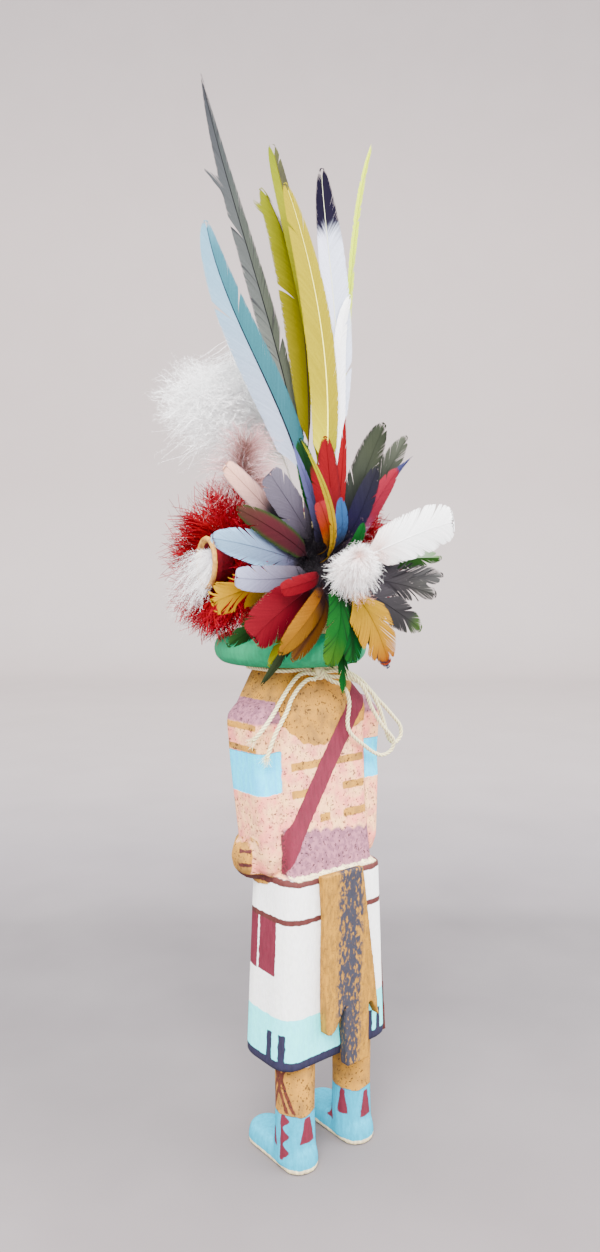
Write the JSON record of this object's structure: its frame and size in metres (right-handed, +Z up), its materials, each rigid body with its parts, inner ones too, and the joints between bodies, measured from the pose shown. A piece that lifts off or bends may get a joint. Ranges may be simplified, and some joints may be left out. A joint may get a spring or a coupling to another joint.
{
  "type": "kachina doll",
  "caption": "Standing carved wooden doll with painted kilt and sash, feather crest and round feather cluster on its head, flower cups at its ears and a string bow at its neck.",
  "frame": {"origin": "on the ground, under the middle of the doll's box without its string", "axes": "+Z up; the doll faces -Y; +X is the doll's own left side"},
  "size_m": [0.1616, 0.1156, 0.5492],
  "materials": {
    "painted_wood": "flat mineral paint over white clay ground",
    "pelt_paint": "flat paint, sponged",
    "sash_paint": "flat paint",
    "flower_wood": "flat paint",
    "red_hair": "dyed hair",
    "white_down": "down and cotton",
    "sky_blue_feather": "soft feather sheen",
    "lavender_feather": "soft feather sheen",
    "gold_feather": "soft feather sheen",
    "amber_feather": "soft feather sheen",
    "crimson_feather": "soft feather sheen",
    "green_feather": "soft feather sheen",
    "lime_feather": "soft feather sheen",
    "olive_feather": "soft feather sheen",
    "yellow_feather": "soft feather sheen",
    "teal_feather": "soft feather sheen",
    "grey_feather": "soft feather sheen",
    "white_feather": "soft feather sheen",
    "pink_feather": "soft feather sheen",
    "navy_feather": "soft feather sheen",
    "red_feather": "soft feather sheen",
    "orange_feather": "soft feather sheen",
    "maroon_feather": "soft feather sheen",
    "cotton_string": "twisted cotton"
  },
  "bodies": {
    "root": {"figure": "painted_wood", "fox_pelt": "pelt_paint", "side_sash": "sash_paint", "left_ear_flower": "flower_wood", "right_ear_flower": "flower_wood", "left_red_fringe": "red_hair", "right_red_fringe": "red_hair", "left_ear_down": "white_down", "right_ear_down": "white_down", "white_plume": "white_feather", "feather_dusky_plume": "pink_feather", "down_ball": "white_feather", "crest_grey": "grey_feather", "crest_blue": "sky_blue_feather", "crest_olive": "olive_feather", "crest_olive_tip": "olive_feather", "crest_yellow": "yellow_feather", "crest_navy_tip": "white_feather", "crest_white_short": "white_feather", "crest_pale_yellow": "lime_feather", "feather_pale_blue": "sky_blue_feather", "feather_lavender_white": "lavender_feather", "feather_gold_frayed": "gold_feather", "feather_crimson": "crimson_feather", "feather_small_red": "crimson_feather", "feather_green_tip": "green_feather", "feather_yellow_green": "lime_feather", "feather_gold_leaf": "gold_feather", "feather_amber_leaf": "amber_feather", "feather_green_left": "green_feather", "feather_green_right": "green_feather", "feather_green_long": "green_feather", "feather_yellow_fan": "yellow_feather", "feather_blue_tip": "teal_feather", "feather_banded_upper": "grey_feather", "feather_banded_lower": "grey_feather", "feather_banded_bottom": "grey_feather", "feather_white_round": "white_feather", "feather_green_side": "lime_feather", "feather_pink_red": "pink_feather", "feather_blue_arc": "lavender_feather", "feather_olive_grey": "olive_feather", "feather_smoke": "grey_feather", "feather_navy_back": "navy_feather", "feather_red_tall": "red_feather", "feather_red_middle": "red_feather", "feather_red_left": "red_feather", "feather_dark_green": "green_feather", "feather_lavender_blade": "lavender_feather", "feather_thin_yellow": "yellow_feather", "feather_orange_tuft": "orange_feather", "feather_grey_purple": "lavender_feather", "feather_maroon_upper": "maroon_feather", "string_knot": "cotton_string", "neck_string": "cotton_string", "string_tail_outer": "cotton_string", "string_tail_inner": "cotton_string", "bow_loop_outer": "cotton_string", "bow_loop_inner": "cotton_string"}
  },
  "joints": []
}
